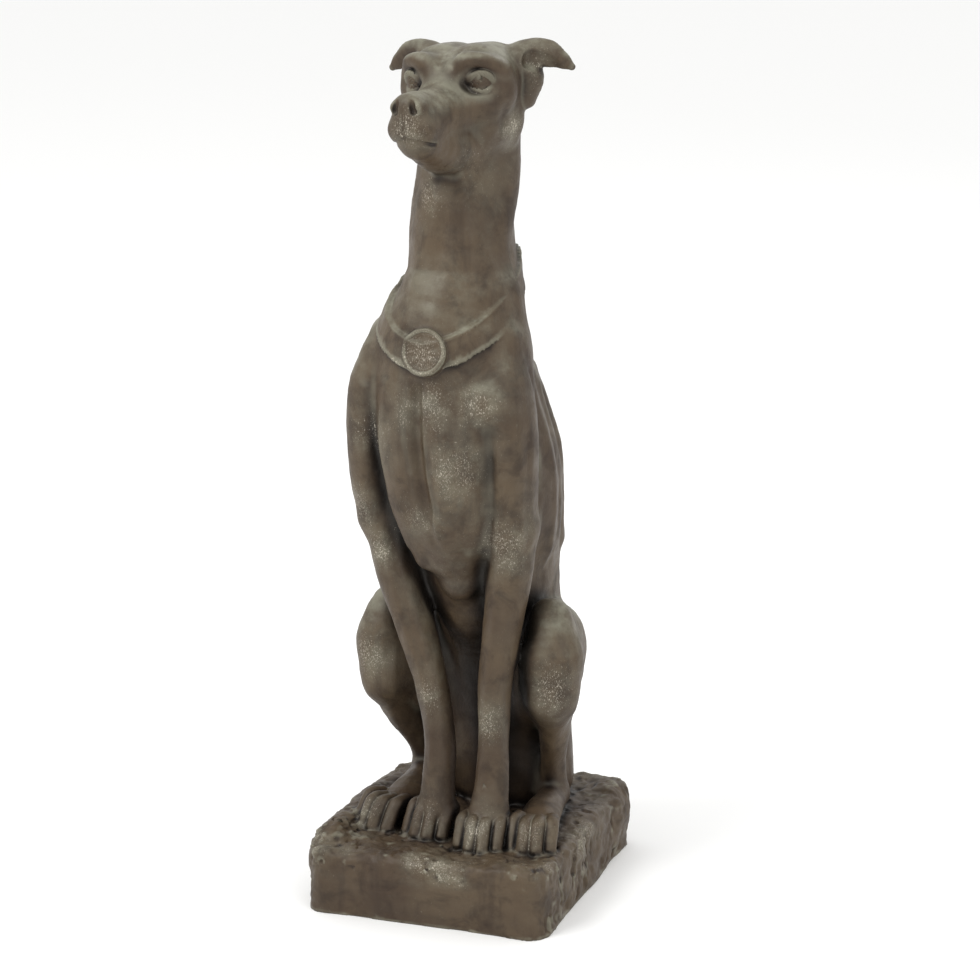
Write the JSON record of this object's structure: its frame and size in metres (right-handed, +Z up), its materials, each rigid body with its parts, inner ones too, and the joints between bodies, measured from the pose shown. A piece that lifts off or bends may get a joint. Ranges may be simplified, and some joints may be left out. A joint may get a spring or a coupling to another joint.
{
  "type": "hunting dog sculpture",
  "caption": "Seated hound with a turned head, collar and round medallion, cast in one with its rough slab base.",
  "frame": {"origin": "middle of the slab's underside", "axes": "+Z up, the slab's front faces -Y, and its left side as the dog sits is +X"},
  "size_m": [0.2399, 0.2724, 0.7799],
  "materials": {
    "cast_stone": "cast stone or cement with a brown-grey patina and a thin grey-green bloom, semi-matte"
  },
  "bodies": {
    "root": {"hunting_dog_statue": "cast_stone"}
  },
  "joints": []
}
